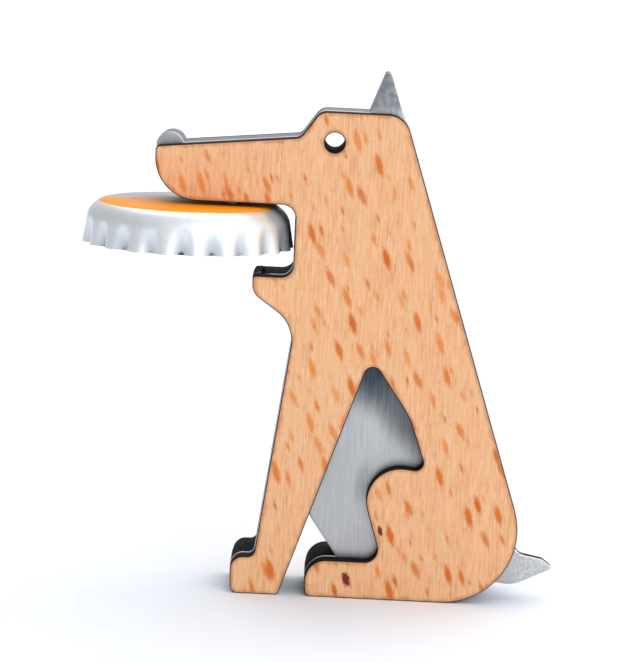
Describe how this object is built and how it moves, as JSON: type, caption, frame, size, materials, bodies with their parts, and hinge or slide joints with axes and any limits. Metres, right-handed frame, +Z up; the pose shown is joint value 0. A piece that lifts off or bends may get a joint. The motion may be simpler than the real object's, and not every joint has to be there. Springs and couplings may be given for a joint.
{
  "type": "souvenir bottle opener",
  "caption": "Flat wood and steel bottle opener shaped like a sitting dog, with a magnet in its open mouth that holds a fluted crown cap.",
  "frame": {"origin": "on the table, under the middle of the dog and the cap that it holds", "axes": "+X from the snout to the tail, +Z up, and -Y towards the front beech plate"},
  "size_m": [0.0741, 0.0319, 0.0798],
  "materials": {
    "beech": "sanded, oiled",
    "steel": "brushed",
    "adhesive_film": "matte",
    "magnet_nickel": "nickel plated",
    "tinplate": "lacquered, satin",
    "cap_liner": "moulded, satin"
  },
  "bodies": {
    "dog": {"front_beech_plate": "beech", "rear_beech_plate": "beech", "steel_core": "steel", "front_adhesive_film": "adhesive_film", "rear_adhesive_film": "adhesive_film", "mouth_magnet": "magnet_nickel"},
    "cap": {"crown_cap_shell": "tinplate", "crown_cap_liner": "cap_liner"}
  },
  "joints": [
    {"name": "cap_slide", "type": "slide", "parent": "dog", "child": "cap", "axis": [-1, 0, 0], "range_m": [0, 0.03]}
  ]
}
